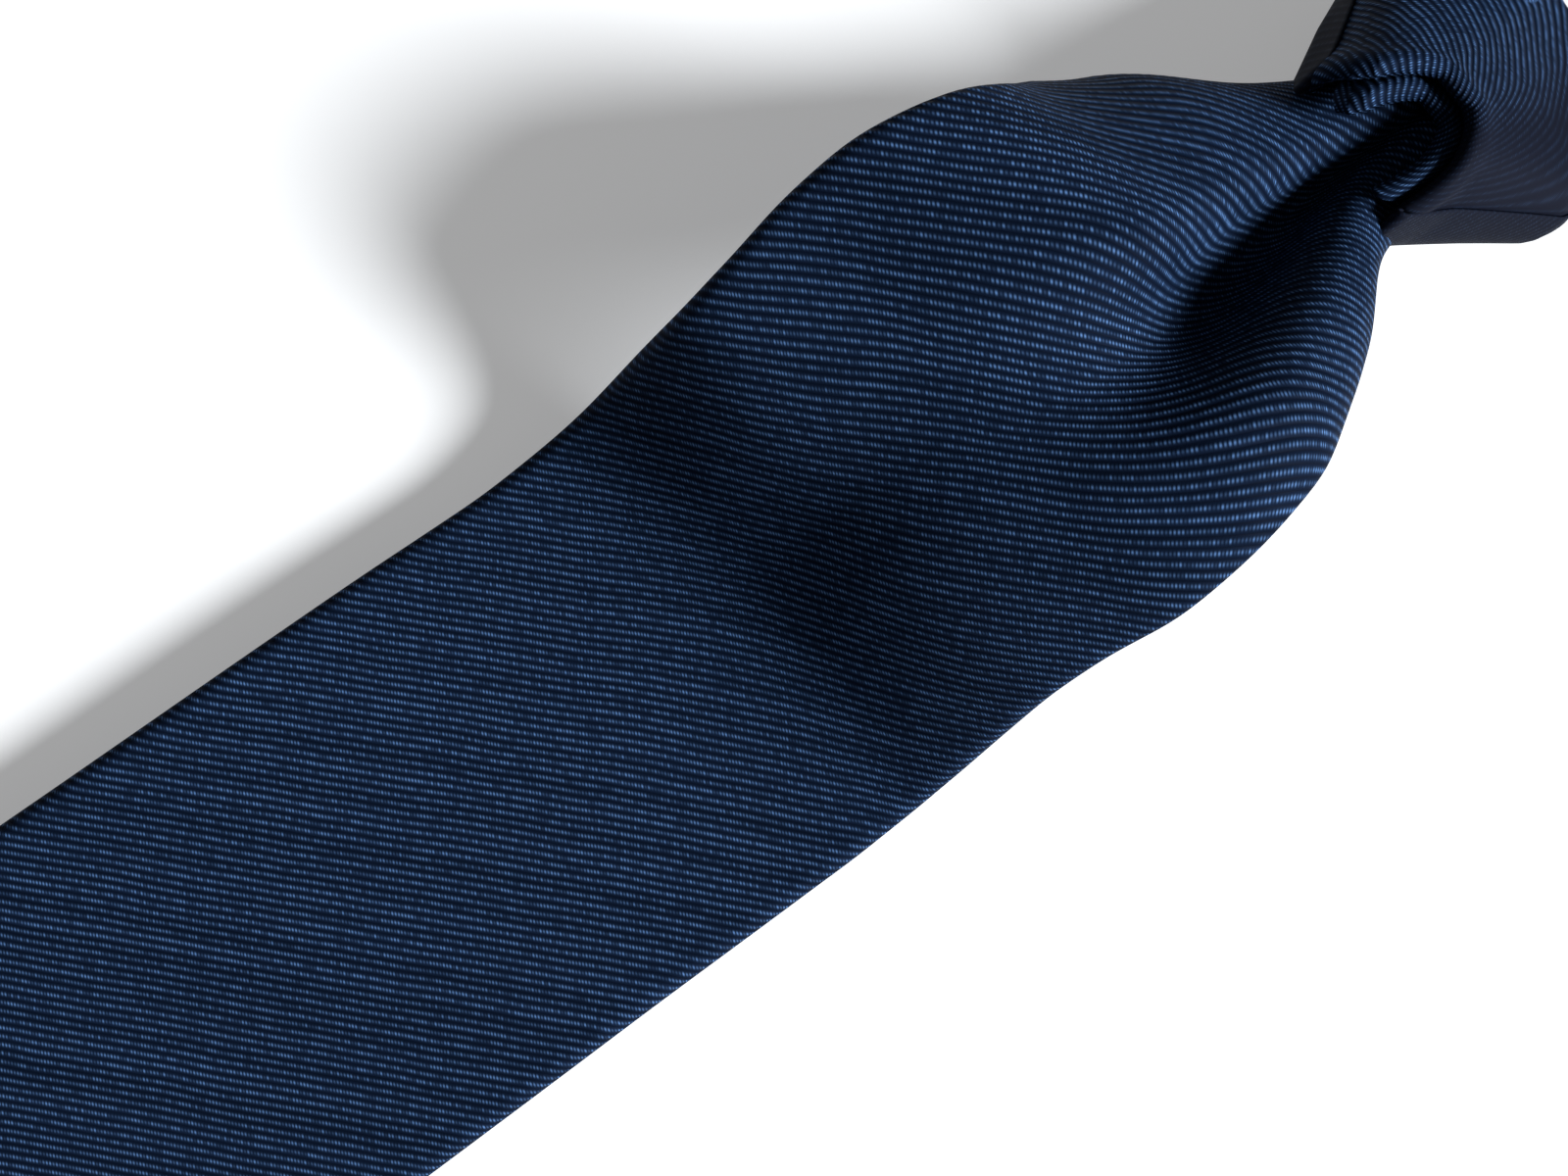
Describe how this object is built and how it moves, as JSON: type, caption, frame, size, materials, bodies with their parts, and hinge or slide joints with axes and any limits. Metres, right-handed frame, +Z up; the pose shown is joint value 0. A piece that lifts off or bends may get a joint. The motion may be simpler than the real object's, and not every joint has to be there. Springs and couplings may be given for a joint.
{
  "type": "necktie",
  "caption": "Knotted necktie lying face up: wide pointed front blade arching from a dimpled four-in-hand knot, narrow tail beneath, round neck loop behind.",
  "frame": {"origin": "on the table, at the middle of the tie's length and width, under the blade", "axes": "+Y along the tie from the front blade's point to the neck loop, +X to the viewer's right as the tie is worn, +Z up out of the tie's face"},
  "size_m": [0.1236, 0.6502, 0.044],
  "materials": {
    "rep_cloth": "navy ribbed silk-look rep, cut on the bias, soft sheen",
    "interlining": "off-white brushed wool interlining",
    "tipping_satin": "dark navy plain satin lining",
    "thread": "navy sewing thread",
    "label_tape": "blank woven tape"
  },
  "bodies": {
    "root": {"knot_front_wrap": "rep_cloth", "knot_back_pass": "rep_cloth", "knot_first_wrap": "rep_cloth", "knot_tail_core": "rep_cloth", "blade_throat": "rep_cloth", "blade_arch_shell": "rep_cloth", "blade_arch_interlining": "interlining", "tail_arch": "rep_cloth", "neck_front_leg": "rep_cloth", "neck_gusset": "rep_cloth", "neck_tail_leg": "rep_cloth", "neck_interlining": "interlining", "piecing_seam_front": "thread", "piecing_seam_tail": "thread"},
    "front_blade": {"front_blade_shell": "rep_cloth", "front_interlining": "interlining", "front_tipping": "tipping_satin", "front_slip_stitch": "thread", "front_bar_tack": "thread", "front_thread_loop": "thread", "keeper_loop": "rep_cloth", "keeper_tacks": "thread", "blank_label": "label_tape", "label_stitches": "thread", "care_label": "label_tape"},
    "tail": {"tail_shell": "rep_cloth", "tail_interlining": "interlining", "tail_tipping": "tipping_satin", "tail_slip_stitch": "thread", "tail_bar_tack": "thread", "tail_thread_loop": "thread"}
  },
  "joints": [
    {"name": "blade_lift", "type": "hinge", "parent": "root", "child": "front_blade", "pos_m": [0, 0.01825, 0.0093], "axis": [-1, 0, 0], "range_deg": [0, 75]},
    {"name": "tail_pull", "type": "slide", "parent": "root", "child": "tail", "axis": [0, -1, 0], "range_m": [0, 0.025], "deforming": ["neck_front_leg", "neck_gusset", "neck_tail_leg", "neck_interlining", "piecing_seam_front", "piecing_seam_tail", "tail_arch"]}
  ]
}
